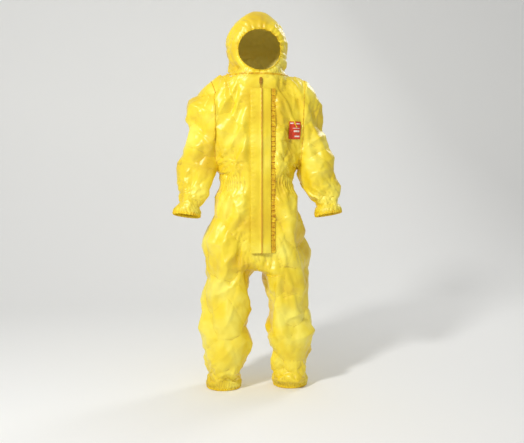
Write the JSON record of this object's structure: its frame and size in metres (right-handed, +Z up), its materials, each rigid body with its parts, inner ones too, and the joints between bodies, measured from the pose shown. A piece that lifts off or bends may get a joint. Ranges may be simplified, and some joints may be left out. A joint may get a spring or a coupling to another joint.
{
  "type": "chemical protective suit",
  "caption": "Hooded one-piece protective suit with a zip under a storm flap and elasticated hood, waist, cuffs and hems.",
  "frame": {"origin": "centre of the neck seam, where the suit hangs on its wearer", "axes": "+X to the wearer's left, -Y the front, +Z up"},
  "size_m": [0.776, 0.2937, 1.7376],
  "materials": {
    "yellow_laminate": "satin",
    "seam_tape": "satin",
    "knit_elastic": "matte",
    "ochre_polyester": "satin",
    "slider_metal": "satin",
    "adhesive_strip": "matte",
    "orange_label": "satin"
  },
  "bodies": {
    "suit": {"left_front_panel": "yellow_laminate", "right_front_panel": "yellow_laminate", "back_panel": "yellow_laminate", "crotch_gusset": "yellow_laminate", "waist_elastic": "knit_elastic", "neck_elastic": "knit_elastic", "left_zip_tape": "seam_tape", "right_zip_tape": "seam_tape", "left_zip_teeth": "ochre_polyester", "right_zip_teeth": "ochre_polyester", "left_zip_top_stop": "ochre_polyester", "right_zip_top_stop": "ochre_polyester", "zip_bottom_stop": "ochre_polyester", "zip_guard": "yellow_laminate", "flap_seam_band": "seam_tape", "flap_adhesive_strip": "adhesive_strip", "chest_label": "orange_label", "left_upper_sleeve": "yellow_laminate", "right_upper_sleeve": "yellow_laminate"},
    "hood": {"hood_centre_panel": "yellow_laminate", "left_hood_panel": "yellow_laminate", "right_hood_panel": "yellow_laminate", "hood_face_elastic": "knit_elastic"},
    "slider": {"zip_slider": "slider_metal"},
    "pull_tab": {"zip_pull_tab": "slider_metal"},
    "flap": {"storm_flap": "yellow_laminate"},
    "left_forearm": {"left_lower_sleeve": "yellow_laminate", "left_wrist_elastic": "knit_elastic"},
    "left_thigh": {"left_upper_leg": "yellow_laminate"},
    "left_shin": {"left_lower_leg": "yellow_laminate", "left_ankle_elastic": "knit_elastic"},
    "right_forearm": {"right_lower_sleeve": "yellow_laminate", "right_wrist_elastic": "knit_elastic"},
    "right_thigh": {"right_upper_leg": "yellow_laminate"},
    "right_shin": {"right_lower_leg": "yellow_laminate", "right_ankle_elastic": "knit_elastic"}
  },
  "joints": [
    {"name": "zip_slide", "type": "slide", "parent": "suit", "child": "slider", "axis": [0, 0, -1], "range_m": [0, 0.75]},
    {"name": "pull_tab_swing", "type": "hinge", "parent": "slider", "child": "pull_tab", "pos_m": [0, -0.1374, -0.0272], "axis": [-1, 0, 0], "range_deg": [0, 160]},
    {"name": "storm_flap_open", "type": "hinge", "parent": "suit", "child": "flap", "pos_m": [0.044, -0.1426, -0.432], "axis": [0, 0, 1], "range_deg": [0, 150]},
    {"name": "hood_tip_back", "type": "hinge", "parent": "suit", "child": "hood", "pos_m": [0, 0.104, 0], "axis": [-1, 0, 0], "range_deg": [0, 35]},
    {"name": "left_elbow_bend", "type": "hinge", "parent": "suit", "child": "left_forearm", "pos_m": [0.2872, -0.08255, -0.40993], "axis": [-0.976, 0, -0.2176], "range_deg": [0, 60]},
    {"name": "left_hip_swing", "type": "hinge", "parent": "suit", "child": "left_thigh", "pos_m": [0.129, -0.122, -0.873], "axis": [-1, 0, 0], "range_deg": [0, 32]},
    {"name": "left_knee_bend", "type": "hinge", "parent": "left_thigh", "child": "left_shin", "pos_m": [0.143, 0.114, -1.023], "axis": [1, 0, 0], "range_deg": [0, 65]},
    {"name": "right_elbow_bend", "type": "hinge", "parent": "suit", "child": "right_forearm", "pos_m": [-0.2872, -0.08255, -0.40993], "axis": [-0.976, 0, 0.2176], "range_deg": [0, 60]},
    {"name": "right_hip_swing", "type": "hinge", "parent": "suit", "child": "right_thigh", "pos_m": [-0.129, -0.122, -0.873], "axis": [-1, 0, 0], "range_deg": [0, 32]},
    {"name": "right_knee_bend", "type": "hinge", "parent": "right_thigh", "child": "right_shin", "pos_m": [-0.143, 0.114, -1.023], "axis": [1, 0, 0], "range_deg": [0, 65]}
  ]
}
